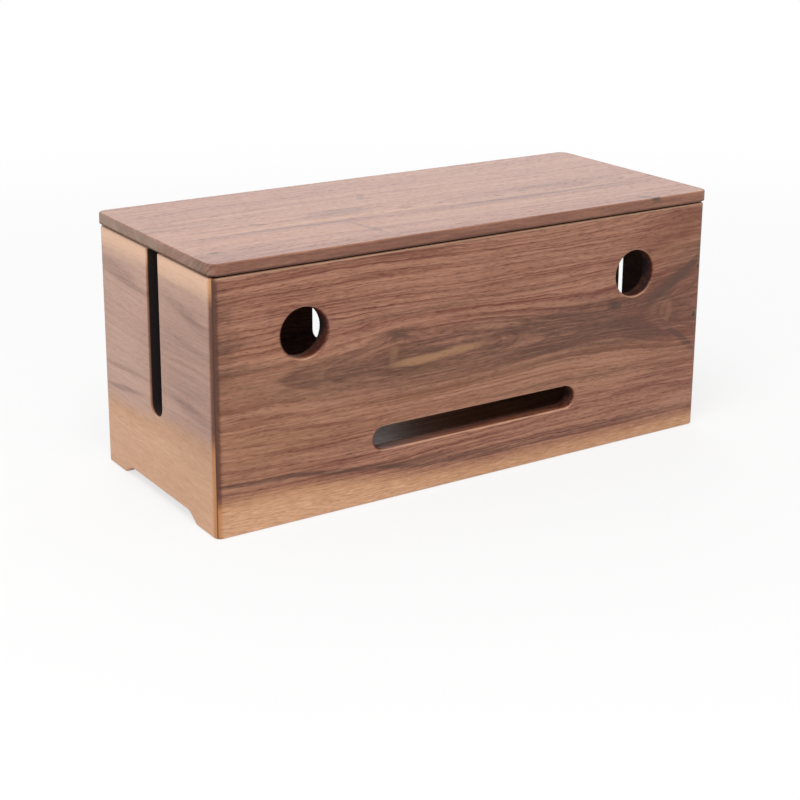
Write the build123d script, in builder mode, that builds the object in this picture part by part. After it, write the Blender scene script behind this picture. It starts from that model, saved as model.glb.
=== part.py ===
from build123d import *
from math import cos, radians
import os

# Cable management box in solid walnut. Four mitred walls stand round a loose floor
# panel, and a flat lid lifts off. Millimetres, +X along the length, front face towards
# -Y, +Z up, origin on the ground under the middle of the box.

# ---- overall ----
overall_length = 310.0
overall_width = 130.0
overall_height = 138.0

# ---- lid board ----
lid_thickness = 6.0
lid_corner_radius = 6.0
lid_top_ease = 0.8
lid_under_ease = 0.5
lid_overhang = 1.0

# ---- pads that hold the lid off the rim ----
pad_height = 1.0
pad_diameter = 5.0
pad_from_corner = 20.0

# ---- battens under the lid ----
batten_height = 8.0
batten_thickness = 8.0
batten_lead = 1.0
lid_play = 0.8

# ---- walls ----
wall = 9.0
corner_radius = 4.0
edge_ease = 1.3

# ---- round cable holes in the front ----
hole_diameter = 26.0
hole_spacing = 208.4
hole_centre_height = 97.0

# ---- long slot in the front ----
mouth_length = 129.0
mouth_height = 12.5
mouth_centre_height = 33.8

# ---- cable slots in the ends, open at the top ----
end_slot_width = 12.0
end_slot_bottom = 44.5

# ---- cable notch in the back, open at the top ----
notch_width = 60.0
notch_bottom = 48.0
notch_radius = 8.0

# ---- arch under each end ----
arch_height = 4.9
arch_foot_length = 22.0
arch_slope_run = 8.0
arch_top_radius = 8.0
arch_foot_radius = 2.5

# ---- floor panel in its grooves ----
floor_underside = 9.0
floor_thickness = 5.0
groove_depth = 4.0
groove_play = 0.2
floor_play = 0.5

# ---- loose keys in the mitres ----
key_thickness = 2.0
key_width = 7.0
key_inset = 5.0
key_stop = 12.0
glue_gap = 0.05

# ---- places that follow from the sizes above ----
box_length = overall_length - 2 * lid_overhang
box_width = overall_width - 2 * lid_overhang
box_height = overall_height - lid_thickness - pad_height
inner_length = box_length - 2 * wall
inner_width = box_width - 2 * wall
lid_underside = overall_height - lid_thickness
floor_top = floor_underside + floor_thickness
key_bottom = floor_top + groove_play + key_stop
key_top = box_height - key_stop
arch_half_floor = box_width / 2 - arch_foot_length
arch_half_top = arch_half_floor - arch_slope_run
mitre_reach = wall
key_centre_x = inner_length / 2 + key_inset * cos(radians(45))
key_centre_y = inner_width / 2 + key_inset * cos(radians(45))
key_names = []
key_places = []
for end_name, end in (("left", -1), ("right", 1)):
    for side_name, side in (("front", -1), ("back", 1)):
        key_names.append(f"corner_key_{side_name}_{end_name}")
        key_places.append(Location((end * key_centre_x, side * key_centre_y, 0), (0, 0, -end * side * 45)))

os.makedirs("parts", exist_ok=True)


def save(piece, name):
    """Name a finished piece and write it to its own file."""
    piece.label = name
    export_step(piece, f"parts/{name}.step")


def stands_at_corner(edge):
    """True for an upright edge in one of the four corners of the box."""
    middle = edge.center()
    past_end = abs(middle.X) > inner_length / 2 - edge_ease
    past_side = abs(middle.Y) > inner_width / 2 - edge_ease
    return past_end and past_side


# The walls are shaped as one ring, so that the edges run true across the mitres.
with BuildPart() as shell:
    with BuildSketch():
        RectangleRounded(box_length, box_width, corner_radius)
        Rectangle(inner_length, inner_width, mode=Mode.SUBTRACT)
    extrude(amount=box_height)

    # Two round holes and the long slot go through the front wall only.
    with BuildSketch(Plane.XZ.offset(inner_width / 2)):
        with Locations((0, hole_centre_height)):
            with GridLocations(hole_spacing, 0, 2, 1):
                Circle(hole_diameter / 2)
        with Locations((0, mouth_centre_height)):
            SlotOverall(mouth_length, mouth_height)
    extrude(amount=wall, mode=Mode.SUBTRACT)

    # The notch goes through the back wall only.
    with BuildSketch(Plane.XZ.offset(-box_width / 2)) as notch:
        with Locations((0, notch_bottom)):
            Rectangle(notch_width, box_height, align=(Align.CENTER, Align.MIN))
        fillet(notch.vertices().group_by(Axis.Y)[0], notch_radius)
    extrude(amount=wall, mode=Mode.SUBTRACT)

    # One slot through both ends: full round at the bottom, open at the top.
    with BuildSketch(Plane.YZ.offset(-box_length / 2)):
        with Locations((0, end_slot_bottom + end_slot_width / 2)):
            Circle(end_slot_width / 2)
            Rectangle(end_slot_width, box_height, align=(Align.CENTER, Align.MIN))
    extrude(amount=box_length, mode=Mode.SUBTRACT)

    # The arch under both ends leaves a foot at each corner.
    with BuildSketch(Plane.YZ.offset(-box_length / 2)) as arch:
        with BuildLine():
            Polyline(
                (-arch_half_floor, 0),
                (-arch_half_top, arch_height),
                (arch_half_top, arch_height),
                (arch_half_floor, 0),
                close=True,
            )
        make_face()
        fillet(arch.vertices().group_by(Axis.Y)[-1], arch_top_radius)
    extrude(amount=box_length, mode=Mode.SUBTRACT)

    # The ends of the arch are rounded off where the feet meet the ground.
    foot_edges = edges().filter_by(Axis.X).group_by(Axis.Z)[0]
    fillet(foot_edges.filter_by(lambda edge: abs(edge.center().Y) < inner_width / 2), arch_foot_radius)

    # Every edge is eased but the corners, which are mitred inside and already round outside.
    eased = edges().filter_by(lambda edge: not stands_at_corner(edge))
    fillet(eased, edge_ease)

    # Groove for the floor panel, the same depth in all four walls.
    with BuildSketch(Plane.XY.offset(floor_underside)):
        Rectangle(inner_length + 2 * groove_depth, inner_width + 2 * groove_depth)
    extrude(amount=floor_thickness + groove_play, mode=Mode.SUBTRACT)

    # Stopped pockets for the loose keys, square across each mitre.
    with BuildSketch(Plane.XY.offset(key_bottom)):
        with Locations(*key_places):
            Rectangle(key_width + 2 * glue_gap, key_thickness + 2 * glue_gap)
    extrude(amount=key_top - key_bottom, mode=Mode.SUBTRACT)

# The mitre planes run at 45 degrees from the outer corners and part the ring into walls.
long_wedge = [
    (-box_length / 2 - mitre_reach, -box_width / 2 - mitre_reach),
    (box_length / 2 + mitre_reach, -box_width / 2 - mitre_reach),
    (box_length / 2 - box_width / 2, 0),
    (-box_length / 2 + box_width / 2, 0),
]
end_wedge = [
    (-box_length / 2 - mitre_reach, -box_width / 2 - mitre_reach),
    (-box_length / 2 + box_width / 2, 0),
    (-box_length / 2 - mitre_reach, box_width / 2 + mitre_reach),
]
wedges = {
    "front_panel": (long_wedge, 1),
    "back_panel": (long_wedge, -1),
    "left_panel": (end_wedge, 1),
    "right_panel": (end_wedge, -1),
}
for name, (wedge, facing) in wedges.items():
    with BuildPart() as panel:
        add(shell.part)
        with BuildSketch():
            Polygon(*[(facing * x, facing * y) for x, y in wedge], align=None)
        extrude(amount=box_height, mode=Mode.INTERSECT)
    save(panel.part, name)

# Loose keys, one in each mitre.
for name, place in zip(key_names, key_places):
    with BuildPart() as key:
        with BuildSketch(Plane.XY.offset(key_bottom)):
            with Locations(place):
                Rectangle(key_width, key_thickness)
        extrude(amount=key_top - key_bottom)
    save(key.part, name)

# The floor panel lies loose in the grooves, so that the wood can move.
with BuildPart() as floor_panel:
    with BuildSketch(Plane.XY.offset(floor_underside)):
        Rectangle(
            inner_length + 2 * (groove_depth - floor_play),
            inner_width + 2 * (groove_depth - floor_play),
        )
    extrude(amount=floor_thickness)
save(floor_panel.part, "floor_panel")

# The lid is one flat board.
with BuildPart() as lid_board:
    with BuildSketch(Plane.XY.offset(lid_underside)):
        RectangleRounded(overall_length, overall_width, lid_corner_radius)
    extrude(amount=lid_thickness)
    fillet(edges().group_by(Axis.Z)[-1], lid_top_ease)
    fillet(edges().group_by(Axis.Z)[0], lid_under_ease)
save(lid_board.part, "lid_board")

# Two battens under the lid drop inside the front and back walls.
batten_centre = inner_width / 2 - lid_play - batten_thickness / 2
for name, side in (("lid_batten_front", -1), ("lid_batten_back", 1)):
    with BuildPart() as batten:
        with BuildSketch(Plane.XY.offset(lid_underside - batten_height)):
            with Locations((0, side * batten_centre)):
                Rectangle(inner_length - 2 * lid_play, batten_thickness)
        extrude(amount=batten_height)
        chamfer(edges().group_by(Axis.Z)[0], batten_lead)
    save(batten.part, name)

# Four pads under the lid rest on the end walls.
pad_x = box_length / 2 - wall / 2
pad_y = box_width / 2 - pad_from_corner
for end_name, end in (("left", -1), ("right", 1)):
    for side_name, side in (("front", -1), ("back", 1)):
        with BuildPart() as pad:
            with BuildSketch(Plane.XY.offset(lid_underside - pad_height)):
                with Locations((end * pad_x, side * pad_y)):
                    Circle(pad_diameter / 2)
            extrude(amount=pad_height)
        save(pad.part, f"lid_pad_{side_name}_{end_name}")
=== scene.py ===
"""Cable management box in solid black walnut: the finish of every piece, and a plain studio.

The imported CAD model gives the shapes. This add-on gives each wooden piece its own board of
walnut, cut from a solid pattern of growth rings, pores, knots and sapwood, so that the grain
runs through each piece and shows as end grain wherever the wood is cut across.
"""

import math
from functools import partial
from typing import NamedTuple

import bpy
from bpy.props import FloatProperty, FloatVectorProperty, PointerProperty
from mathutils import Euler, Matrix, Vector


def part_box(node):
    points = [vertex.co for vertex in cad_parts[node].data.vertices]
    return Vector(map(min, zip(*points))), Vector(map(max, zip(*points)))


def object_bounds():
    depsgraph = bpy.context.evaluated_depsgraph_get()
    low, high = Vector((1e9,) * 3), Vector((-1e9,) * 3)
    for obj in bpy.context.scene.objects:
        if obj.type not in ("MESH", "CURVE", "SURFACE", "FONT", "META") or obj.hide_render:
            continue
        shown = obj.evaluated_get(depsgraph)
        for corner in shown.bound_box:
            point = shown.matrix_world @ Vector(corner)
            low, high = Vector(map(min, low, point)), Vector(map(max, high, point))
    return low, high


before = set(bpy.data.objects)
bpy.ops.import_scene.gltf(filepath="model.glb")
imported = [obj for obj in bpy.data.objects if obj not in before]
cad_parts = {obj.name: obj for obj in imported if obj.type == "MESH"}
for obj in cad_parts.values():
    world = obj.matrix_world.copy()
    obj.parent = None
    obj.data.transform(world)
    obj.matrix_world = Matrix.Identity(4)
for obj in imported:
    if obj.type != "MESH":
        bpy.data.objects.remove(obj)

bl_info = {
    "name": "Walnut cable box",
    "version": (1, 0, 0),
    "blender": (4, 5, 0),
    "location": "3D View > Sidebar > Cable box",
    "description": "Finishes the pieces of a walnut cable management box and sets up a plain studio",
    "category": "Object",
}

CAD_BOX = [list(corner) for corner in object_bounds()]
MM = 0.001
PER_MM = 1 / MM
QUARTER = math.pi / 2

# Sizes of the boards, in mm. A face is given by its distance from the origin.
FRONT_FACE = -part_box("front_panel")[0].y * PER_MM
END_FACE = -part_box("left_panel")[0].x * PER_MM
LID_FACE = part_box("lid_board")[1].z * PER_MM
FLOOR_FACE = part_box("floor_panel")[1].z * PER_MM
WALL = FRONT_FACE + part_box("front_panel")[1].y * PER_MM
LID_THICKNESS = LID_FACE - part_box("lid_board")[0].z * PER_MM
WALL_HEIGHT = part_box("front_panel")[1].z * PER_MM
EASE = 1.3  # radius of the walls' eased edges
LID_EASE = 0.5  # radius of the edges under the lid
RIM = (4, 2)  # how far below a wall's top its more rubbed rim starts, and is full
EDGE_CLEAR = 7.0  # an opening's cheeks lie at least this far from the wall's own top and bottom
INNER_FADE = 0.8  # the finish of a board's inner side fades in over this depth

# Names of the pale and the dark colour of a board.
HEARTWOOD = ("pale", "dark")
NEAR_SAPWOOD = ("end_pale", "end_dark")

# The spans that most noise lies in. The narrow one gives the stronger contrast.
NARROW = {"From Min": 0.35, "From Max": 0.65}
WIDE = {"From Min": 0.3, "From Max": 0.7}
# Waves of the fibres: their size along, into and up the board and their height, in mm, and what
# they add to the board's seed. The tremor has two waves, and the sway is one slow wave.
TREMOR = (((34, 12, 7), 1.1, 5), ((12, 5, 3), 0.7, 9))
SWAY = ((170, 60, 38), 7.0, 0)
# The ring count drifts by this many rings, with this many waves per ring, so years differ in width.
RING_DRIFT = 3.0
RING_RHYTHM = 0.37
AUTUMN = 2.2  # a ring darkens with this power of the year's course
PORE_REACH = (0.42, 0.18)  # where a pore starts and has its full depth, as shares of the pore spacing
FIBRE_SHADE = 0.14  # how much single fibres darken or lighten every colour
PORE_SHADE = 0.18  # how much an open pore darkens it
NO_SAPWOOD = -1000.0  # mm: so far inside the tree is a board without sapwood
SAP_TONE_HEIGHTS = (40, 110)  # mm: where the sapwood's lower tone ends and its upper one starts
THROUGH = 60.0  # mm: a depth that takes a spot of colour through any board
WOOD_IOR = 1.5  # of wood, and of the oil that dried in it
FLECK = (0.6, 0.6, 4)  # mm: size of a fleck in beech, across and up
SAW_MARKS = 0.1  # mm: depth of the marks that the saw left on beech
DUST = 0.02  # mm: thickness of the dust on the pads


def rgb(code):
    """Linear colour of an sRGB hex value."""
    parts = [int(code[i:i + 2], 16) / 255 for i in (1, 3, 5)]
    return [p / 12.92 if p <= 0.04045 else ((p + 0.055) / 1.055) ** 2.4 for p in parts]


def colour(name, description, code):
    """A colour that a user can change."""
    return FloatVectorProperty(
        name=name, description=description, default=rgb(code), size=3, min=0, max=1, subtype="COLOR"
    )


def millimetres(name, description, size):
    """A length that a user can change, given in millimetres and kept in metres."""
    return FloatProperty(
        name=name, description=description, default=size * MM, min=0.01 * MM,
        subtype="DISTANCE", unit="LENGTH",
    )


def share(name, description, amount):
    """A share, from 0 to 1, that a user can change."""
    return FloatProperty(
        name=name, description=description, default=amount, min=0, max=1, subtype="FACTOR"
    )


class WalnutSettings(bpy.types.PropertyGroup):
    """Colours and grain sizes of the walnut."""

    pale: colour("Pale heartwood", "Early wood of the heartwood, oiled", "#A27158")
    dark: colour("Dark heartwood", "Late wood of the heartwood, oiled", "#6A311C")
    end_pale: colour("Pale end boards", "Early wood of the boards cut next to the sapwood", "#BE9784")
    end_dark: colour("Dark end boards", "Late wood of the boards cut next to the sapwood", "#7E5547")
    smoke: colour("Smoke", "Dark pigment round knots and in streaks", "#54301E")
    tan: colour("Tan", "Yellow-brown wood that lies between darker zones", "#B4885C")
    dry: colour("Dry end grain", "Wood that is cut across and takes little oil", "#A18D7E")
    sapwood: colour("Sapwood", "Pale outer wood of the trunk, oiled", "#E0B596")
    sap_edge: colour("Sapwood streaks", "Late wood of the sapwood, next to the heartwood", "#AC733F")
    glue: colour("Glue line", "Thin dark line where two boards meet in a mitre", "#3A2219")
    pit: colour("Pits", "Dark core of a knot or a nick", "#1E120C")
    ring_spacing: millimetres("Ring spacing", "From one growth ring to the next", 2.1)
    pore_length: millimetres("Pore length", "Length of an open pore along the grain", 5.0)
    pore_spacing: millimetres("Pore spacing", "From one pore to the next across the grain", 0.8)
    pore_depth: millimetres("Pore depth", "Depth of an open pore after oiling", 0.05)
    glue_width: millimetres("Glue line width", "Width of the dark line at a mitre", 0.35)
    stain_width: millimetres("Mitre stain", "How far the glue darkened the wood beside a mitre", 5.0)
    polish: share("Roughness", "Roughness of the oiled and rubbed face", 0.42)
    raw: share("Inside roughness", "Roughness of the planed faces inside the box", 0.75)
    inside: share("Inside colour", "Colour of the faces that the lid keeps from the light", 0.5)
    rubbed: share("Rubbed edges", "How much paler the eased edges are", 0.8)


class PlainSettings(bpy.types.PropertyGroup):
    """Colours of the small pieces, and the floor of the stage."""

    beech: colour("Beech", "Sawn beech of the corner keys", "#C9A078")
    silicone: colour("Silicone", "Clear silicone of the lid pads", "#E4E6E4")
    floor: colour("Floor", "Pale studio floor", "#E6E6E6")
    floor_size: FloatProperty(
        name="Floor size", description="Side of the studio floor", default=6.0, min=1,
        subtype="DISTANCE", unit="LENGTH",
    )


class Swell(NamedTuple):
    """A knot or a hollow that pushes the growth rings outwards round one spot of a board, in mm."""

    at: tuple  # along and up
    reach: tuple  # along and up
    lift: float


class Patch(NamedTuple):
    """A spot of another colour on a board, in mm and degrees."""

    at: tuple  # along and up
    reach: tuple  # along and up
    strength: float
    slope: float = 0.0
    tint: str = "smoke"  # smoke, tan, pit, or the board's own pale or dark colour
    core: float = 0.35  # share of the reach that has the full strength
    depth: float = THROUGH  # how far it reaches into the wood


class Board(NamedTuple):
    """How one board was cut. It is seen with its face to the viewer and its grain going across."""

    turn: tuple  # Euler angle that brings the board to that view
    face: float  # the face's distance from the origin, in mm
    half: float  # half of the face's length, in mm, where a mitre cuts each end, or else 0
    inner: float  # depth below the face, in mm, where the inner side of the board starts
    seed: float  # picks its patterns
    pith: tuple  # centre of the rings: its height, and its distance behind the face, in mm
    colours: tuple  # names of the pale and the dark colour
    figure: float = 1.0  # contrast of rings, streaks and pores
    deeper: float = 0.0  # how much deeper its colour is overall
    lean: float = 0.0  # slope of the grain, in degrees, rising to the right
    swells: tuple = ()
    patches: tuple = ()  # each lies over the ones before it
    # Sapwood lies below and above a limit that runs from (along, up) to (along, up).
    sap_below: tuple = ()
    sap_above: tuple = ()
    sap_blend: float = 5.0  # half of the width, in mm, over which it takes over from the heartwood
    sap_tones: tuple = (0.59, 0.59)  # how deep its colour is low and high in the board
    sap_figure: float = 1.0  # contrast of its streaks
    ragged: float = 1.0  # how much streaks and fibres break up its patches
    rubbed: float = 0.4  # how much its eased edges are rubbed; a wall's upper rim has the full amount
    stained: tuple = (0.5, 0.5)  # how much the glue darkened the wood at its left and right mitre
    end_grain: float = 1.9  # how much deeper the colour gets where the wood is cut across
    edge_grain: float = 1.35  # the same on the edges that run along the grain
    dry: tuple = (0.0, 0.0)  # how dry and grey its end grain is, and its edges along the grain
    scorch: tuple = (0.9, 0.4)  # how black an opening's cheeks are burnt, across and along the grain
    scorch_rim: float = 0.25  # the share of it that shows next to the face
    height: float = 0.0  # height of a board that has openings, in mm


class Grain(NamedTuple):
    """Where a point of a board lies in the tree: sockets and nodes that the colours are read from."""

    along: object
    inward: object
    up: object
    held: object  # height in the board, with the tremor of the fibres
    fibres: object  # place along, into and across the fibres
    years: object  # place along the fibres and across the growth rings
    late: object  # 0 in early wood to 1 at the end of each year's ring


def add(tree, kind, sockets=None, **settings):
    """Add a node with its settings, and fill its sockets with values or with other nodes' results."""
    node = tree.nodes.new("ShaderNode" + kind)
    for name, value in settings.items():
        setattr(node, name, value)
    used = [socket for socket in node.inputs if socket.enabled]
    for key, value in (sockets or {}).items():
        socket = used[key] if isinstance(key, int) else next(s for s in used if s.name == key)
        if isinstance(value, bpy.types.Node):
            value = next(result for result in value.outputs if result.enabled)
        if isinstance(value, bpy.types.NodeSocket):
            tree.links.new(value, socket)
        else:
            socket.default_value = (*value, 1) if socket.type == "RGBA" and len(value) == 3 else value
    return node


def new_material(name):
    """An empty node material, and its tree."""
    material = bpy.data.materials.new(name)
    material.use_nodes = True
    material.node_tree.nodes.clear()
    return material, material.node_tree


def waved(put, place, level, size, most, seed):
    """Add a slow wave, of at most this many mm, to a level."""
    at = put("VectorMath", {0: place, 1: size}, operation="DIVIDE")
    wave = put("TexNoise", {"Vector": at, "W": seed, "Scale": 1, "Detail": 1}, noise_dimensions="4D")
    wave = put("MapRange", {"Value": wave, "To Min": -most, "To Max": most}, clamp=False)
    return put("Math", {0: wave, 1: level}, operation="ADD")


def spot(put, place, at, reach, height, slope=0.0, core=0.0, depth=THROUGH):
    """From 0 outside an ellipse to height in the core of it, a share of its reach."""
    near = put(
        "Mapping",
        {"Vector": place, "Location": (at[0], 0, at[1]), "Scale": (reach[0], depth, reach[1]),
         "Rotation": (0, -math.radians(slope), 0)},
        vector_type="TEXTURE",
    )
    away = put("VectorMath", {0: near}, operation="LENGTH")
    return put("MapRange", {"Value": away, "From Min": 1, "From Max": core, "To Max": height},
               interpolation_type="SMOOTHSTEP")


def lay_grain(put, place, board, wood):
    """Find the fibres and the growth rings of a tree that didn't grow straight."""
    parts = put("SeparateXYZ", {0: place})
    along, inward, up = (parts.outputs[axis] for axis in "XYZ")

    held = up
    for size, most, step in TREMOR:
        held = waved(put, place, held, size, most, board.seed + step)
    slope = -math.tan(math.radians(board.lean))
    swayed = put("Math", {0: along, 1: slope, 2: held}, operation="MULTIPLY_ADD")
    size, most, step = SWAY
    swayed = waved(put, place, swayed, size, most, board.seed + step)

    lift = 0.0
    for swell in board.swells:
        bump = spot(put, place, swell.at, swell.reach, swell.lift)
        lift = put("Math", {0: bump, 1: lift}, operation="ADD")

    # Distance from the pith, in mm, counts the rings.
    offset = put("Math", {0: swayed, 1: board.pith[0]}, operation="SUBTRACT")
    depth = put("Math", {0: inward, 1: board.pith[1]}, operation="ADD")
    square = put("Math", {0: offset, 1: offset}, operation="MULTIPLY")
    square = put("Math", {0: depth, 1: depth, 2: square}, operation="MULTIPLY_ADD")
    radius = put("Math", {0: square}, operation="SQRT")
    ring_at = put("Math", {0: radius, 1: lift}, operation="SUBTRACT")
    rings = put("Math", {0: ring_at, 1: wood.ring_spacing * PER_MM}, operation="DIVIDE")
    drift_at = put("Math", {0: rings, 1: RING_RHYTHM}, operation="MULTIPLY")
    drift = put("TexNoise", {"W": drift_at, "Scale": 1, "Detail": 2}, noise_dimensions="1D")
    rings = put("Math", {0: drift, 1: RING_DRIFT, 2: rings}, operation="MULTIPLY_ADD")

    # A ring darkens slowly through the year, and the next one starts pale.
    season = put("Math", {0: rings}, operation="FRACT")
    late = put("Math", {0: season, 1: AUTUMN}, operation="POWER")
    late = put("MapRange", {"Value": season, "From Min": 1.0, "From Max": 0.9, "To Max": late},
               interpolation_type="SMOOTHSTEP")

    # Fibres follow the rings where these run side by side.
    slant = put("Math", {0: offset, 1: radius}, operation="DIVIDE")
    across = put("Math", {0: slant, 1: lift}, operation="MULTIPLY")
    across = put("Math", {0: swayed, 1: across}, operation="SUBTRACT")
    fibres = put("CombineXYZ", {"X": along, "Y": inward, "Z": across})
    years = put("CombineXYZ", {"X": along, "Y": 0.0, "Z": ring_at})
    return Grain(along, inward, up, held, fibres, years, late)


def read_patterns(put, grain, board, wood):
    """Noise along the grain, from broad bands to single fibres, and the open pores.

    Real pores and fibres are about 0.2 mm wide, too fine to show, so they are drawn two to three
    times as wide.
    """
    patterns = {}
    # Each pattern: where it is read, the size of its features in mm, and its detail and roughness.
    for part, (where, size, detail, rough) in {
        "bands": (grain.years, (230, 1, 4.2), 4, 0.6),
        "cloud": (grain.fibres, (90, 25, 22), 3, 0.55),
        "streaks": (grain.fibres, (60, 4, 1.6), 3, 0.6),
        "fibre": (grain.fibres, (9, 0.7, 0.55), 3, 0.65),
    }.items():
        at = put("VectorMath", {0: where, 1: size}, operation="DIVIDE")
        patterns[part] = put(
            "TexNoise",
            {"Vector": at, "W": board.seed + len(patterns), "Scale": 1, "Detail": detail,
             "Roughness": rough},
            noise_dimensions="4D",
        )
    pore_size = (wood.pore_length * PER_MM, wood.pore_spacing * PER_MM, wood.pore_spacing * PER_MM)
    pore_at = put("VectorMath", {0: grain.fibres, 1: pore_size}, operation="DIVIDE")
    pores = put("TexVoronoi", {"Vector": pore_at, "Scale": 1}, feature="F1")
    start, full = PORE_REACH
    patterns["pores"] = put("MapRange", {"Value": pores, "From Min": start, "From Max": full},
                            interpolation_type="SMOOTHSTEP")
    return patterns


def heartwood(put, grain, patterns, board, wood):
    """Colour of the heartwood: rings, bands, streaks, fibres and pores between pale and dark."""
    # The rings are faint in some places and strong in others.
    strength = put("MapRange", {"Value": patterns["cloud"], **NARROW, "To Min": 0.4, "To Max": 0.95})
    deep = put("Math", {0: grain.late, 1: strength}, operation="MULTIPLY")
    for part, least, most in (
        ("bands", -0.16, 0.62),
        ("streaks", -0.36, 0.36),
        ("fibre", -0.22, 0.22),
    ):
        shift = put("MapRange", {"Value": patterns[part], **WIDE, "To Min": least, "To Max": most})
        deep = put("Math", {0: deep, 1: shift}, operation="ADD")
    deep = put("Math", {0: patterns["pores"], 1: 0.2, 2: deep}, operation="MULTIPLY_ADD")
    deep = put("Math", {0: deep, 1: board.figure, 2: board.deeper}, operation="MULTIPLY_ADD",
               use_clamp=True)
    pale, dark = (getattr(wood, part)[:] for part in board.colours)
    return put("Mix", {"Factor": deep, "A": pale, "B": dark}, data_type="RGBA")


def sapwood(put, grain, patterns, board, wood):
    """Share of the sapwood at the lower and the upper edge of the board, and its colour."""
    outside = NO_SAPWOOD
    for limit, way in ((board.sap_below, -1), (board.sap_above, 1)):
        if limit:
            (left, left_up), (right, right_up) = limit
            level = put("MapRange", {"Value": grain.along, "From Min": left, "From Max": right,
                                     "To Min": left_up, "To Max": right_up},
                        interpolation_type="SMOOTHSTEP")
            past = put("Math", {0: grain.held, 1: level}, operation="SUBTRACT")
            past = put("Math", {0: past, 1: way}, operation="MULTIPLY")
            outside = put("Math", {0: past, 1: outside}, operation="MAXIMUM")
    blend = board.sap_blend
    uneven = put("MapRange", {"Value": patterns["streaks"], "To Min": -blend, "To Max": blend})
    outside = put("Math", {0: uneven, 1: outside}, operation="ADD")
    amount = put("MapRange", {"Value": outside, "From Min": -blend, "From Max": blend},
                 interpolation_type="SMOOTHSTEP")

    # The colour is a little deeper in the first 12 mm next to the heartwood.
    (low_up, high_up), (low, high) = SAP_TONE_HEIGHTS, board.sap_tones
    tone = put("MapRange", {"Value": grain.up, "From Min": low_up, "From Max": high_up,
                            "To Min": low, "To Max": high})
    near_heart = put("MapRange", {"Value": outside, "From Min": 0, "From Max": 12,
                                  "To Min": 0.16, "To Max": -0.04})
    streak = put("MapRange", {"Value": patterns["fibre"], "To Min": -0.9 * board.sap_figure,
                              "To Max": 0.9 * board.sap_figure})
    ring = put("Math", {0: grain.late, 1: 0.2 * board.sap_figure}, operation="MULTIPLY")
    for part in (near_heart, streak, ring):
        tone = put("Math", {0: tone, 1: part}, operation="ADD")
    outer_wood = put("Mix", {"Factor": tone, "A": wood.sapwood[:], "B": wood.sap_edge[:]},
                     data_type="RGBA")
    return amount, outer_wood


def lay_patches(put, timber, grain, patterns, board, wood):
    """Smoky pigment gathers in patches and streaks, and pale patches lie between them.

    Streaks, bands and fibres break up each patch, so that its outline is ragged.
    """
    place = put("CombineXYZ", {"X": grain.along, "Y": grain.inward, "Z": grain.held})
    ragged = 1.0
    for part, most in (("streaks", 0.5), ("bands", 0.33), ("fibre", 0.2)):
        most *= board.ragged
        frayed = put("MapRange", {"Value": patterns[part], **NARROW,
                                  "To Min": 1 - most, "To Max": 1 + most})
        ragged = put("Math", {0: ragged, 1: frayed}, operation="MULTIPLY")
    tints = {"smoke": wood.smoke[:], "tan": wood.tan[:], "pit": wood.pit[:],
             "pale": getattr(wood, board.colours[0])[:], "dark": getattr(wood, board.colours[1])[:]}
    for patch in board.patches:
        here = spot(put, place, patch.at, patch.reach, patch.strength, patch.slope, patch.core,
                    patch.depth)
        here = put("Math", {0: here, 1: ragged}, operation="MULTIPLY", use_clamp=True)
        timber = put("Mix", {"Factor": here, "A": timber, "B": tints[patch.tint]}, data_type="RGBA")
    return timber


def draw_fibres(put, timber, patterns, board):
    """Single fibres and pores show through every colour."""
    shade = put("MapRange", {"Value": patterns["fibre"], **WIDE,
                             "To Min": 1 + FIBRE_SHADE * board.figure,
                             "To Max": 1 - FIBRE_SHADE * board.figure})
    open_pore = put("MapRange", {"Value": patterns["pores"], "To Min": 1.0,
                                 "To Max": 1 - PORE_SHADE * board.figure})
    shade = put("Math", {0: shade, 1: open_pore}, operation="MULTIPLY")
    return put("VectorMath", {0: timber, "Scale": shade}, operation="SCALE")


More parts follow.
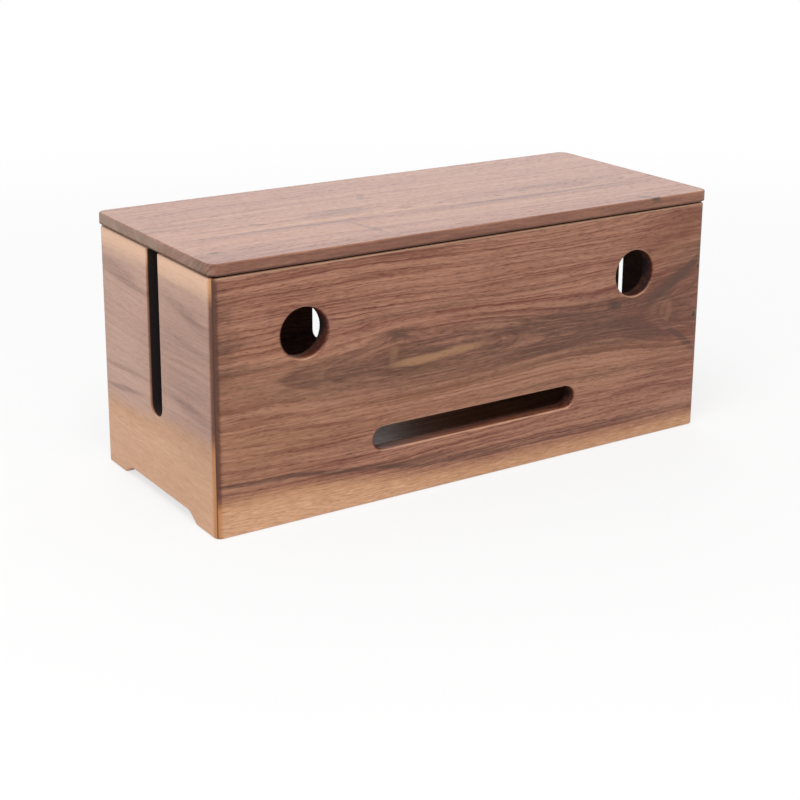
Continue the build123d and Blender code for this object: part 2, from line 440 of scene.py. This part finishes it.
def work_edges(put, timber, grain, patterns, turned, sap, board, wood):
    """Eased edges are rubbed paler, edges drink the oil, and end grain looks dry and grey."""
    rubbed = wood.rubbed * board.rubbed
    if board.height:
        rim_starts, rim_full = (board.height - below for below in RIM)
        rubbed = put("MapRange", {"Value": grain.up, "From Min": rim_starts, "From Max": rim_full,
                                  "To Min": rubbed, "To Max": wood.rubbed})
    eased = put("MapRange", {"Value": turned["facing"], "From Min": 0.98, "From Max": 0.8,
                             "To Max": rubbed})
    # Cheeks and end grain aren't rubbed.
    for part, none, full in (("facing", 0.05, 0.3), ("cut", 0.6, 0.3)):
        allowed = put("MapRange", {"Value": turned[part], "From Min": none, "From Max": full})
        eased = put("Math", {0: eased, 1: allowed}, operation="MULTIPLY")
    timber = put("Mix", {"Factor": eased, "A": timber, "B": wood.sapwood[:]}, data_type="RGBA")

    # A higher gamma gives a deeper colour. A corner that the glue hardly stained gets less of it.
    left, right = (min(1, 2 * amount) for amount in board.stained)
    side = put("MapRange", {"Value": grain.along, "From Min": -1, "From Max": 1,
                            "To Min": left, "To Max": right})
    deepest = put("Mix", {"Factor": side, "A": 1.0, "B": board.end_grain})
    across = put("MapRange", {"Value": turned["cut"], "From Min": 0.08, "From Max": 0.5,
                              "To Min": 1.0, "To Max": deepest}, interpolation_type="SMOOTHSTEP")
    deepest = put("Math", {0: turned["cheek"], 1: turned["cut"]}, operation="MULTIPLY")
    deepest = put("MapRange", {"Value": deepest, "To Min": board.edge_grain,
                               "To Max": board.end_grain})
    beside = put("MapRange", {"Value": turned["facing"], "From Min": 0.6, "From Max": 0.1,
                              "To Min": 1.0, "To Max": deepest})
    deepening = put("Math", {0: across, 1: beside}, operation="MAXIMUM")
    # Sapwood takes about a third of the deepening that heartwood takes.
    shallow = put("Math", {0: deepening, 1: 0.35, 2: 0.65}, operation="MULTIPLY_ADD")
    deepening = put("Mix", {"Factor": sap, "A": deepening, "B": shallow})
    timber = put("Gamma", {"Color": timber, "Gamma": deepening})

    # Dry end grain is greyer in some places, and less so in late wood.
    uneven = put("MapRange", {"Value": patterns["cloud"], **NARROW,
                              "To Min": 0.4 * board.dry[0], "To Max": 1.4 * board.dry[0]})
    uneven = put("Math", {0: grain.late, 1: -0.5 * board.dry[0], 2: uneven}, operation="MULTIPLY_ADD")
    across = put("MapRange", {"Value": turned["cut"], "From Min": 0.3, "From Max": 0.9,
                              "To Max": uneven})
    beside = put("MapRange", {"Value": turned["facing"], "From Min": 0.6, "From Max": 0.1,
                              "To Max": board.dry[1]})
    dried = put("Math", {0: across, 1: beside}, operation="MAXIMUM")
    return put("Mix", {"Factor": dried, "A": timber, "B": wood.dry[:]}, data_type="RGBA")


def glue_mitres(put, timber, grain, sap, board, wood):
    """The glue stained the wood beside each mitre, and shows as a thin dark line."""
    to_mitre = put("Math", {0: grain.along}, operation="ABSOLUTE")
    to_mitre = put("Math", {0: to_mitre, 1: grain.inward}, operation="ADD")
    to_mitre = put("Math", {0: board.half, 1: to_mitre}, operation="SUBTRACT")
    left, right = board.stained
    stained = put("MapRange", {"Value": grain.along, "From Min": -1, "From Max": 1,
                               "To Min": left, "To Max": right})
    stain = put("Mix", {"Factor": sap, "A": wood.smoke[:], "B": wood.sap_edge[:]}, data_type="RGBA")
    glue = put("Math", {0: stained, 1: 0.3}, operation="ADD", use_clamp=True)
    for reach, strength, tint in (
        (wood.stain_width, stained, stain),
        (2 * wood.glue_width, glue, wood.glue[:]),
    ):
        here = put("MapRange", {"Value": to_mitre, "From Min": reach * PER_MM, "From Max": 0,
                                "To Max": strength}, interpolation_type="SMOOTHSTEP")
        timber = put("Mix", {"Factor": here, "A": timber, "B": tint}, data_type="RGBA")
    return timber


def walnut(name, board, wood):
    """Black walnut, planed, sanded and rubbed with oil."""
    # The eye sees a warm brown with darker lines that run along each board, satin where it was
    # sanded and dull where it was only planed. Oil sinks into edges and end grain and makes them
    # deeper. Open pores are fine dark dashes that break up the shine.
    material, tree = new_material(name)
    put = partial(add, tree)
    coordinates = put("TexCoord")
    place = put(
        "Mapping",
        {"Vector": coordinates.outputs["Object"], "Scale": (PER_MM,) * 3, "Rotation": board.turn,
         "Location": (0, board.face, 0)},
    )
    grain = lay_grain(put, place, board, wood)
    patterns = read_patterns(put, grain, board, wood)
    timber = heartwood(put, grain, patterns, board, wood)
    sap, outer_wood = sapwood(put, grain, patterns, board, wood)
    timber = put("Mix", {"Factor": sap, "A": timber, "B": outer_wood}, data_type="RGBA")
    timber = lay_patches(put, timber, grain, patterns, board, wood)
    timber = draw_fibres(put, timber, patterns, board)

    # How the surface is turned, as cosines: cut is 1 where the wood is cut square across the
    # grain, and facing is 1 on the board's face and 0 square to it.
    turned = {}
    straight = Euler(board.turn).to_matrix().inverted()
    for part, way in (("cut", (1, 0, 0)), ("facing", (0, 1, 0))):
        dot = put("VectorMath", {0: coordinates.outputs["Normal"], 1: straight @ Vector(way)},
                  operation="DOT_PRODUCT")
        turned[part] = put("Math", {0: dot}, operation="ABSOLUTE")
    turned["cheek"] = 0.0
    if board.height:
        # An opening's cheeks that run along the grain lie between the board's own two edges.
        cheek = put("MapRange", {"Value": turned["facing"], "From Min": 0.7, "From Max": 0.2})
        for edge, way in ((EDGE_CLEAR, 1), (board.height - EDGE_CLEAR, -1)):
            between = put("MapRange", {"Value": grain.up, "From Min": edge - way,
                                       "From Max": edge + way})
            cheek = put("Math", {0: cheek, 1: between}, operation="MULTIPLY")
        turned["cheek"] = cheek
    timber = work_edges(put, timber, grain, patterns, turned, sap, board, wood)

    # The router scorched the cheeks of the openings, most in the inner third of the wall.
    char = 0.0
    if board.height:
        across = put("MapRange", {"Value": turned["cut"], "From Min": 0.75, "From Max": 1.0,
                                  "To Max": board.scorch[0]})
        char = put("Math", {0: turned["cheek"], 1: board.scorch[1]}, operation="MULTIPLY")
        char = put("Math", {0: char, 1: across}, operation="MAXIMUM")
        burnt = put("MapRange", {"Value": grain.inward, "From Min": EASE, "From Max": 0.7 * WALL,
                                 "To Min": board.scorch_rim, "To Max": 1.0},
                    interpolation_type="SMOOTHSTEP")
        char = put("Math", {0: char, 1: burnt}, operation="MULTIPLY")
    brightness = put("Math", {0: 1.0, 1: char}, operation="SUBTRACT")

    # The inner side of a board was left planed, and is darker and duller.
    inside = put("MapRange", {"Value": grain.inward, "From Min": board.inner - INNER_FADE,
                              "From Max": board.inner}, interpolation_type="SMOOTHSTEP")
    shaded = put("MapRange", {"Value": inside, "To Min": 1.0, "To Max": wood.inside})
    brightness = put("Math", {0: brightness, 1: shaded}, operation="MULTIPLY")
    timber = put("VectorMath", {0: timber, "Scale": brightness}, operation="SCALE")
    if board.half:
        timber = glue_mitres(put, timber, grain, sap, board, wood)

    # Pores, end grain and char are rougher than the face.
    rough = put("MapRange", {"Value": inside, "To Min": wood.polish, "To Max": wood.raw})
    rough = put("Math", {0: patterns["pores"], 1: 0.12, 2: rough}, operation="MULTIPLY_ADD")
    rough = put("Math", {0: turned["cut"], 1: 0.2, 2: rough}, operation="MULTIPLY_ADD")
    rough = put("Math", {0: char, 1: 0.5, 2: rough}, operation="MULTIPLY_ADD", use_clamp=True)
    relief = put("Math", {0: patterns["pores"], 1: -0.8, 2: patterns["fibre"]},
                 operation="MULTIPLY_ADD")
    surface = put("Bump", {"Height": relief, "Distance": wood.pore_depth, "Strength": 1.0})
    shader = put("BsdfPrincipled", {"Base Color": timber, "Roughness": rough, "Normal": surface,
                                    "IOR": WOOD_IOR})
    put("OutputMaterial", {"Surface": shader})
    return material


def dress(start, material):
    """Give one material to every CAD node whose name starts so."""
    found = [thing.data.materials for node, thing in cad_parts.items() if node.startswith(start)]
    if not found:
        raise ValueError(f"no piece has a name that starts with {start}")
    for slots in found:
        slots.clear()
        slots.append(material)


# What the boards of the long walls and of the end walls have in common.
LONG_WALL = partial(
    Board, face=FRONT_FACE, half=END_FACE, inner=WALL - EASE, colours=HEARTWOOD, height=WALL_HEIGHT,
    sap_blend=4.5, sap_tones=(0.5, 0.5), sap_figure=0.55,
)
END_WALL = partial(
    Board, face=END_FACE, half=FRONT_FACE, inner=WALL - EASE, colours=NEAR_SAPWOOD, height=WALL_HEIGHT,
    ragged=0.45, sap_blend=6.0, sap_figure=0.45, scorch=(0.97, 0.97), scorch_rim=1.0,
)


class CABLEBOX_OT_front_panel(bpy.types.Operator):
    """Finish the front wall: flat-sawn, with an eye, two knots, dark streaks and sapwood below"""

    bl_idname = "cablebox.front_panel"
    bl_label = "Front panel"

    def execute(self, context):
        board = LONG_WALL(
            turn=(0, 0, 0), seed=3.1, pith=(74, 26),
            swells=(
                Swell((-22, 74), (112, 30), 7.1),
                Swell((172, 73), (85, 48), 12),
                Swell((90.5, 81), (8, 6), 2),
                Swell((-50, 87), (12, 7), 3.5),
            ),
            patches=(
                # The smoky zone round the eye, and the darker end at the right.
                Patch((46, 71), (250, 22), 0.6),
                Patch((150, 90), (75, 75), 0.55, tint="dark"),
                Patch((150, 108), (40, 26), 0.12, tint="tan"),
                Patch((140, 93), (30, 9), 0.42, slope=32),
                Patch((122, 74), (50, 28), 0.32),
                # Yellow-brown wood at the left and under the eye.
                Patch((-140, 68), (90, 44), 0.12, tint="tan"),
                Patch((0, 48), (220, 18), 0.12, tint="tan"),
                Patch((-22, 66), (44, 3.5), 0.07, tint="tan"),
                # Smudges at the tips of the eye and over it.
                Patch((-94, 73), (32, 12), 0.5),
                Patch((-99, 72), (12, 4), 0.4),
                Patch((-112, 77), (14, 2.5), 0.45, slope=15),
                Patch((-80, 66), (26, 3), 0.4, slope=-6),
                Patch((-80, 81), (24, 3), 0.35, slope=8),
                Patch((-50, 87), (22, 5), 0.5),
                Patch((27, 79.5), (15, 6), 0.45, slope=-10),
                Patch((42, 72.5), (18, 3.5), 0.5, slope=-12),
                Patch((78, 74), (26, 7), 0.22, slope=-4),
                Patch((104, 66), (24, 8), 0.4, slope=-20),
                # Streaks that fan out to the right end.
                Patch((124, 82), (20, 5), 0.6, slope=22),
                Patch((132, 89), (26, 4.0), 0.9, slope=28),
                Patch((146, 97), (16, 3.0), 0.8, slope=40),
                Patch((143, 104), (22, 4), 0.4, slope=18),
                Patch((150, 87), (12, 2.0), 0.5, slope=44),
                Patch((122, 107), (34, 2.6), 0.2, slope=17, tint="tan"),
                Patch((130, 113), (34, 6), 0.45, slope=14, tint="dark"),
                Patch((136, 58), (17, 2.4), 0.65, slope=-34),
                Patch((144, 51), (14, 3.0), 0.65, slope=-40),
                Patch((118, 62), (18, 3), 0.4, slope=-18),
                Patch((130, 71), (8, 3.2), 0.16, slope=82, tint="tan"),
                # Streaks in the calm wood above and below.
                Patch((-140, 84), (28, 2.8), 0.5),
                Patch((-152, 97), (20, 4), 0.5),
                Patch((-30, 98.5), (110, 2.8), 0.25),
                Patch((-134, 34), (60, 18), 0.12, tint="tan"),
                Patch((-118, 57), (50, 1.8), 0.4, slope=-6, tint="dark"),
                Patch((-104, 49), (70, 1.6), 0.45, slope=-5, tint="dark"),
                Patch((-122, 43.5), (42, 1.4), 0.4, slope=-5, tint="dark"),
                Patch((-98, 37), (64, 1.8), 0.5, slope=-5, tint="dark"),
                Patch((-126, 32), (40, 1.3), 0.4, slope=-4, tint="dark"),
                Patch((118, 45), (44, 1.6), 0.35, slope=4, tint="dark"),
                Patch((112, 36), (60, 2.0), 0.4, slope=5, tint="dark"),
                Patch((100, 28.5), (70, 1.8), 0.45, slope=4, tint="dark"),
                Patch((118, 22), (50, 1.5), 0.4, slope=3, tint="dark"),
                Patch((50, 44), (95, 3.2), 0.25),
                Patch((-25, 16), (60, 4), 0.45, slope=-5),
                Patch((60, 13.5), (140, 3.2), 0.35),
                # The dark line over the sapwood.
                Patch((-128, 25.4), (36, 1.7), 0.85, slope=-2.5, core=0.5),
                Patch((-88, 21.8), (30, 1.6), 0.8, slope=-6, core=0.5),
                Patch((-52, 17.6), (24, 1.8), 0.7, slope=-11),
                # A slightly deeper colour at the right end of the sapwood.
                Patch((90, 3), (170, 12), 0.1, tint="dark"),
                # The pale lens in the eye, with its hook.
                Patch((-38, 71.8), (24, 3.4), 0.48, slope=1, tint="tan", core=0.3),
                Patch((-12, 73.4), (20, 3.2), 0.44, slope=4, tint="tan", core=0.3),
                Patch((-53, 78), (7, 3.4), 0.16, slope=70, tint="tan"),
                # Two nicks beside the right mitre.
                Patch((149.3, 66.7), (2.1, 1.5), 1.5, slope=20, tint="pit"),
                Patch((151, 94.5), (1.5, 1.2), 0.8, slope=20, tint="pit"),
                # Darker wood beside the left mitre.
                Patch((-150, 100), (11, 36), 0.35),
                # The knot over the eye and the one at its right.
                Patch((-50, 87.5), (9, 3.2), 0.9),
                Patch((90.5, 81), (6.5, 4), 1.0, core=0.6),
                Patch((90.5, 81), (3.6, 2.4), 0.5, tint="pit"),
            ),
            sap_below=((-125, 18.5), (0, 8.0)), rubbed=0.46, stained=(0.85, 0.1),
        )
        dress("front_panel", walnut("oiled_walnut_front", board, context.scene.cablebox_walnut))
        return {"FINISHED"}


class CABLEBOX_OT_back_panel(bpy.types.Operator):
    """Finish the back wall: the next board of the same plank, with its own figure"""

    bl_idname = "cablebox.back_panel"
    bl_label = "Back panel"

    def execute(self, context):
        board = LONG_WALL(
            turn=(0, 0, math.pi), seed=11.7, pith=(44, 28),
            swells=(
                Swell((84, 46), (100, 30), 6),
                Swell((-120, 88), (14, 8), 4),
            ),
            patches=(
                Patch((70, 46), (130, 20), 0.55),
                Patch((-120, 80), (80, 34), 0.4),
                Patch((-150, 110), (90, 40), 0.3, tint="dark"),
                Patch((0, 20), (110, 3), 0.45, slope=3),
                Patch((70, 47), (26, 3.2), 0.45, slope=2, tint="tan"),
                Patch((-120, 88), (6, 4), 0.8),
            ),
            sap_below=((-60, 9.0), (150, 16.0)),
        )
        dress("back_panel", walnut("oiled_walnut_back", board, context.scene.cablebox_walnut))
        return {"FINISHED"}


class CABLEBOX_OT_end_panels(bpy.types.Operator):
    """Finish both end walls: paler boards with sapwood at the top and bottom"""

    bl_idname = "cablebox.end_panels"
    bl_label = "End panels"

    def execute(self, context):
        ends = {
            "left_panel": END_WALL(
                turn=(0, 0, QUARTER), seed=21.3, pith=(150, 60), figure=0.25, deeper=0.06,
                swells=(Swell((10, 90), (90, 40), 3),),
                patches=(
                    Patch((66, 76), (110, 58), 0.36, tint="dark"),
                    Patch((-44, 112), (34, 5), 0.3, slope=-2),
                    Patch((-30, 107.5), (40, 2.4), 0.3, slope=-3),
                    Patch((26, 110), (36, 4.2), 0.22, slope=-9),
                    Patch((50, 104), (28, 5), 0.2, slope=-12),
                    Patch((40, 92), (40, 2.0), 0.15, slope=-5),
                    Patch((-36, 59.5), (38, 1.8), 0.3, slope=4),
                    Patch((-38, 48), (36, 2.0), 0.36, slope=7),
                    Patch((40, 22), (44, 30), 0.13, tint="tan"),
                    Patch((30, 62), (30, 2.0), 0.25, slope=-2),
                    Patch((46, 58), (30, 5), 0.25, slope=-5),
                ),
                sap_below=((-64, 38), (64, 49)), sap_above=((-64, 122), (64, 121)),
                sap_tones=(0.52, -0.18), stained=(0.4, 0.85),
            ),
            "right_panel": END_WALL(
                turn=(0, 0, -QUARTER), seed=33.9, pith=(160, 55), figure=0.3, deeper=0.05, lean=-3,
                swells=(Swell((-20, 70), (90, 40), 4),),
                patches=(
                    Patch((-66, 78), (100, 80), 0.4, tint="dark"),
                    Patch((0, 100), (110, 8), 0.3, slope=3),
                    Patch((-30, 50), (70, 6), 0.25),
                ),
                sap_below=((-64, 34), (64, 26)), sap_above=((-64, 124), (64, 126)),
                sap_tones=(0.5, -0.1),
            ),
        }
        for node, board in ends.items():
            dress(node, walnut(f"oiled_walnut_{node}", board, context.scene.cablebox_walnut))
        return {"FINISHED"}


class CABLEBOX_OT_lid_board(bpy.types.Operator):
    """Finish the lid: one calm board with a few darker streaks"""

    bl_idname = "cablebox.lid_board"
    bl_label = "Lid board"

    def execute(self, context):
        board = Board(
            turn=(QUARTER, 0, 0), face=LID_FACE, half=0.0, inner=LID_THICKNESS - LID_EASE, seed=45.2,
            pith=(-12, 34), colours=HEARTWOOD, figure=0.62, deeper=0.1,
            swells=(
                Swell((-20, 26), (9, 6), 3),
                Swell((60, -14), (120, 30), 4),
                Swell((-55, -45), (7, 5), 2),
            ),
            patches=(
                # Soft darker zones.
                Patch((-50, -4), (28, 10), 0.45),
                Patch((105, -7), (60, 6), 0.25),
                Patch((-145, 8), (70, 9), 0.25),
                Patch((-140, -52), (48, 16), 0.2),
                Patch((0, -60), (220, 18), 0.24, tint="dark"),
                # One dark streak along the board, and paler wood on both sides of it.
                Patch((-90, -20.5), (95, 3.4), 0.6, slope=-1),
                Patch((0, -25), (200, 9), 0.3, slope=-1.5, tint="dark"),
                Patch((70, -24.5), (120, 3.0), 0.35, slope=-1.5),
                Patch((0, -16.5), (180, 3.0), 0.25, slope=-2.5, tint="tan"),
                Patch((-80, -14), (110, 5), 0.12, slope=-2, tint="tan"),
                Patch((-40, -34), (180, 10), 0.1, tint="tan"),
                # Small marks of buds that healed over. Two of them don't go deep.
                Patch((-20.5, 20.5), (9, 3.4), 0.65, slope=60),
                Patch((-98, -6.5), (7, 2.4), 0.9, slope=-27),
                Patch((-143, -46), (5, 3), 0.9),
                Patch((-53, -40), (24, 2.6), 0.5, slope=98),
                Patch((112, -60), (10, 4.5), 0.6, slope=-57, depth=3),
                Patch((116.5, -65), (4.5, 2.6), 0.9, tint="pit", depth=3),
                Patch((46, -14.5), (4.5, 2.0), 0.8),
                Patch((65, -11.8), (4.5, 2.0), 0.8),
            ),
            rubbed=0.05, end_grain=1.2, edge_grain=1.2, dry=(0.65, 0.1),
        )
        dress("lid_board", walnut("oiled_walnut_lid", board, context.scene.cablebox_walnut))
        return {"FINISHED"}


class CABLEBOX_OT_inside(bpy.types.Operator):
    """Finish the floor panel and the battens under the lid: plain planed walnut"""

    bl_idname = "cablebox.inside"
    bl_label = "Floor panel and battens"

    def execute(self, context):
        wood = context.scene.cablebox_walnut
        # The floor panel's two sides look alike: its inner side starts deeper than it is thick.
        flat = Board(
            turn=(QUARTER, 0, 0), face=FLOOR_FACE, half=0.0, inner=WALL, seed=57.4, pith=(8, 40),
            colours=HEARTWOOD, swells=(Swell((30, 0), (130, 40), 6),),
        )
        dress("floor_panel", walnut("planed_walnut_floor", flat, wood))
        # All of a batten lies inside.
        for number, node in enumerate(("lid_batten_front", "lid_batten_back")):
            strip = Board(
                turn=(0, 0, 0), face=FRONT_FACE, half=0.0, inner=-2 * FRONT_FACE, seed=61.0 + number,
                pith=(60, 70), colours=HEARTWOOD, swells=(Swell((0, 90), (90, 40), 2),),
            )
            dress(node, walnut(f"planed_walnut_{node}", strip, wood))
        return {"FINISHED"}


class CABLEBOX_OT_corner_keys(bpy.types.Operator):
    """Finish the loose keys in the mitres: sawn beech"""

    bl_idname = "cablebox.corner_keys"
    bl_label = "Corner keys"

    def execute(self, context):
        # The eye sees pale, even wood with short dark flecks along its upright grain, and no shine.
        material, tree = new_material("sawn_beech")
        put = partial(add, tree)
        place = put("Mapping", {"Vector": put("TexCoord").outputs["Object"], "Scale": (PER_MM,) * 3})
        fleck_at = put("VectorMath", {0: place, 1: FLECK}, operation="DIVIDE")
        fleck = put("TexNoise", {"Vector": fleck_at, "Scale": 1, "Detail": 2})
        pale = context.scene.cablebox_plain.beech
        tone = put("MapRange", {"Value": fleck, "From Min": 0.45, "From Max": 0.75})
        shade = put("Mix", {"Factor": tone, "A": pale[:], "B": [0.5 * part for part in pale]},
                    data_type="RGBA")
        saw = put("Bump", {"Height": fleck, "Distance": SAW_MARKS * MM})
        shader = put("BsdfPrincipled", {"Base Color": shade, "Roughness": 0.75, "IOR": WOOD_IOR,
                                        "Normal": saw})
        put("OutputMaterial", {"Surface": shader})
        dress("corner_key", material)
        return {"FINISHED"}


class CABLEBOX_OT_lid_pads(bpy.types.Operator):
    """Finish the four pads under the lid: clear moulded silicone"""

    bl_idname = "cablebox.lid_pads"
    bl_label = "Lid pads"

    def execute(self, context):
        # The eye sees a milky, half clear rubber with a soft shine, dulled here and there by dust.
        material, tree = new_material("clear_silicone")
        put = partial(add, tree)
        place = put("Mapping", {"Vector": put("TexCoord").outputs["Object"], "Scale": (PER_MM,) * 3})
        dust = put("TexNoise", {"Vector": place, "Scale": 2, "Detail": 3})
        dull = put("MapRange", {"Value": dust, **WIDE, "To Min": 0.25, "To Max": 0.45})
        skin = put("Bump", {"Height": dust, "Distance": DUST * MM})
        shader = put(
            "BsdfPrincipled",
            {"Base Color": context.scene.cablebox_plain.silicone[:], "Roughness": dull, "IOR": 1.41,
             "Transmission Weight": 0.6, "Normal": skin},
        )
        put("OutputMaterial", {"Surface": shader})
        dress("lid_pad", material)
        return {"FINISHED"}


# The camera looks at aim from this distance, in mm. Its azimuth and elevation are those of the
# place where it stands, and roll is its own tilt to the side, in degrees.
CAMERA = {"aim": (-7.20, 0.32, 83.01), "distance": 920.0, "azimuth": -33.2976, "elevation": 16.13,
          "roll": 0.412, "lens": 75.96, "shift": -0.125}
# A lamp is a soft box: direction from the middle of the box, distance and side in m, power in W.
LAMPS = {
    "key_soft_box": {"from": (-0.37, -0.42, 0.83), "distance": 1.6, "side": 1.2, "power": 20.0},
    "back_soft_box": {"from": (0.45, 0.80, 0.38), "distance": 1.8, "side": 1.4, "power": 7.0},
}
AMBIENT = 0.6  # how strongly the white surround lights the box
# Near the box the paper is this much white and shows a soft shadow. Between these distances from
# the middle, in m, it turns all white.
PAPER_WHITE = 0.7
PAPER_FADE = (0.3, 1.0)


def place_camera():
    """Put the camera at its viewing angle."""
    azimuth = math.radians(CAMERA["azimuth"])
    elevation = math.radians(CAMERA["elevation"])
    roll = math.radians(CAMERA["roll"])
    turn = Matrix.Rotation(azimuth, 4, "Z") @ Matrix.Rotation(QUARTER - elevation, 4, "X")
    turn = turn @ Matrix.Rotation(roll, 4, "Z")
    back = turn @ Vector((0, 0, CAMERA["distance"] * MM))
    data = bpy.data.cameras.new("camera")
    data.lens = CAMERA["lens"]
    data.shift_y = CAMERA["shift"]
    camera = bpy.data.objects.new("camera", data)
    camera.matrix_world = Matrix.Translation(Vector(CAMERA["aim"]) * MM + back) @ turn
    bpy.context.scene.collection.objects.link(camera)
    bpy.context.scene.camera = camera


def place_lamp(name, lamp, target):
    """Hang one soft box, turned to the middle of the object."""
    data = bpy.data.lights.new(name, "AREA")
    data.shape = "SQUARE"
    data.size = lamp["side"]
    data.energy = lamp["power"]
    way = Vector(lamp["from"]).normalized()
    soft_box = bpy.data.objects.new(name, data)
    soft_box.location = target + way * lamp["distance"]
    soft_box.rotation_mode = "QUATERNION"
    soft_box.rotation_quaternion = way.to_track_quat("Z", "Y")
    bpy.context.scene.collection.objects.link(soft_box)


def seen_ray(put):
    """1 for a ray that shows the background: straight, reflected or through something clear."""
    path = put("LightPath")
    seen = put("Math", {0: path.outputs["Is Camera Ray"], 1: path.outputs["Is Glossy Ray"]},
               operation="MAXIMUM")
    return put("Math", {0: seen, 1: path.outputs["Is Transmission Ray"]}, operation="MAXIMUM")


class CABLEBOX_OT_stage(bpy.types.Operator):
    """Set up the pale floor, the white surround, the soft boxes and the camera"""

    bl_idname = "cablebox.stage"
    bl_label = "Stage"

    def execute(self, context):
        scene = context.scene
        settings = scene.cablebox_plain
        half = settings.floor_size / 2
        mesh = bpy.data.meshes.new("floor")
        corners = [(-half, -half, 0), (half, -half, 0), (half, half, 0), (-half, half, 0)]
        mesh.from_pydata(corners, [], [(0, 1, 2, 3)])
        floor = bpy.data.objects.new("studio_floor", mesh)
        scene.collection.objects.link(floor)

        # Matt white paper: the eye sees white, with a soft shadow where the box stands.
        material, tree = new_material("matt_white_paper")
        put = partial(add, tree)
        paper = put("BsdfDiffuse", {"Color": settings.floor[:]})
        white = put("Emission", {"Color": (1, 1, 1), "Strength": 1.0})
        middle = put("VectorMath", {0: put("TexCoord").outputs["Object"]}, operation="LENGTH")
        near, far = PAPER_FADE
        whiteness = put("MapRange", {"Value": middle, "From Min": near, "From Max": far,
                                     "To Min": PAPER_WHITE, "To Max": 1.0},
                        interpolation_type="SMOOTHSTEP")
        shown = put("Math", {0: seen_ray(put), 1: whiteness}, operation="MULTIPLY")
        put("OutputMaterial", {"Surface": put("MixShader", {0: shown, 1: paper, 2: white})})
        mesh.materials.append(material)

        world = bpy.data.worlds.new("white_surround")
        world.use_nodes = True
        world.node_tree.nodes.clear()
        put = partial(add, world.node_tree)
        strength = put("MapRange", {"Value": seen_ray(put), "To Min": AMBIENT, "To Max": 1.0})
        put("OutputWorld", {"Surface": put("Background", {"Color": (1, 1, 1), "Strength": strength})})
        scene.world = world

        low, high = (Vector(corner) for corner in CAD_BOX)
        for name, lamp in LAMPS.items():
            place_lamp(name, lamp, (low + high) / 2)
        place_camera()
        scene.view_settings.view_transform = "Standard"
        return {"FINISHED"}


PIECES = (
    CABLEBOX_OT_front_panel,
    CABLEBOX_OT_back_panel,
    CABLEBOX_OT_end_panels,
    CABLEBOX_OT_lid_board,
    CABLEBOX_OT_inside,
    CABLEBOX_OT_corner_keys,
    CABLEBOX_OT_lid_pads,
    CABLEBOX_OT_stage,
)


class CABLEBOX_PT_sidebar(bpy.types.Panel):
    """Lists the operators and their settings"""

    bl_idname = "CABLEBOX_PT_sidebar"
    bl_label = "Cable box"
    bl_space_type = "VIEW_3D"
    bl_region_type = "UI"
    bl_category = "Cable box"

    def draw(self, context):
        for group in (context.scene.cablebox_walnut, context.scene.cablebox_plain):
            for name in group.bl_rna.properties.keys():
                if name not in ("rna_type", "name"):
                    self.layout.prop(group, name)
        for piece in PIECES:
            self.layout.operator(piece.bl_idname)


CLASSES = (WalnutSettings, PlainSettings, *PIECES, CABLEBOX_PT_sidebar)


def register():
    """Register the classes and their settings."""
    for made in CLASSES:
        bpy.utils.register_class(made)
    bpy.types.Scene.cablebox_walnut = PointerProperty(type=WalnutSettings)
    bpy.types.Scene.cablebox_plain = PointerProperty(type=PlainSettings)


def unregister():
    """Remove what register added."""
    del bpy.types.Scene.cablebox_plain
    del bpy.types.Scene.cablebox_walnut
    for made in reversed(CLASSES):
        bpy.utils.unregister_class(made)


def main():
    """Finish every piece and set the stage."""
    register()
    bpy.ops.cablebox.front_panel()
    bpy.ops.cablebox.back_panel()
    bpy.ops.cablebox.end_panels()
    bpy.ops.cablebox.lid_board()
    bpy.ops.cablebox.inside()
    bpy.ops.cablebox.corner_keys()
    bpy.ops.cablebox.lid_pads()
    bpy.ops.cablebox.stage()


if __name__ == "__main__":
    main()
